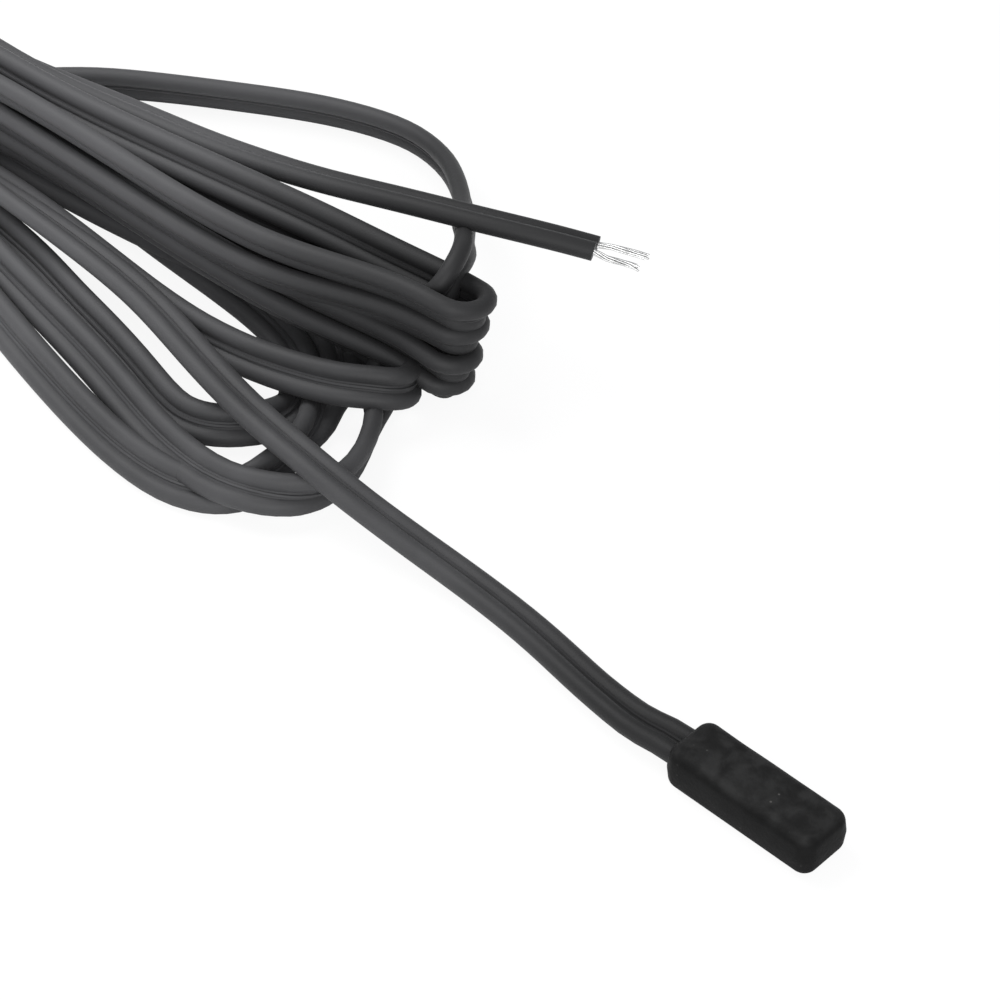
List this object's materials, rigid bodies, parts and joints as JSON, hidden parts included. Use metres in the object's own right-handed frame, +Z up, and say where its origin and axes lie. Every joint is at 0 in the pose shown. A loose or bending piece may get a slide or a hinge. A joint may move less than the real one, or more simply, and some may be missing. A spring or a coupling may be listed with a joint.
{
  "type": "temperature sensor probe",
  "caption": "Moulded rectangular temperature sensor head on a flat twin cable that is wound into a hank, with its free end stripped for wiring.",
  "frame": {"origin": "under the middle of the sensor head, on the surface that the probe rests on", "axes": "+X along the head away from its cable, +Z up; the cable leaves the head towards -X"},
  "size_m": [0.199, 0.0615, 0.0183],
  "materials": {
    "head_rubber": "matt black moulded elastomer with a fine grain and a soft sheen on its edges",
    "cable_jacket": "satin charcoal PVC, lighter where it faces the light",
    "inner_resin": "unseen pre-moulding",
    "bead_coating": "dipped epoxy",
    "sleeve_film": "thin amber insulating sleeve",
    "crimp_metal": "tinned brass",
    "tinned_wire": "bright tinned copper strands",
    "tie_plastic": "black tie band"
  },
  "bodies": {
    "root": {"sensor_overmould": "head_rubber", "inner_moulding": "inner_resin", "thermistor_bead": "bead_coating", "thermistor_wire_left": "tinned_wire", "thermistor_wire_right": "tinned_wire", "crimp_left": "crimp_metal", "crimp_right": "crimp_metal", "crimp_sleeve_left": "sleeve_film", "crimp_sleeve_right": "sleeve_film", "head_strand_left": "tinned_wire", "head_strand_right": "tinned_wire", "cable_end_in_head": "cable_jacket", "cable_lead": "cable_jacket", "cable_hank_turns": "cable_jacket", "cable_lower_loops": "cable_jacket", "cable_outer_loop": "cable_jacket", "cable_tied_part": "cable_jacket", "cable_tail": "cable_jacket", "tail_strand_left": "tinned_wire", "tail_strand_right": "tinned_wire", "hank_tie": "tie_plastic"}
  },
  "joints": []
}
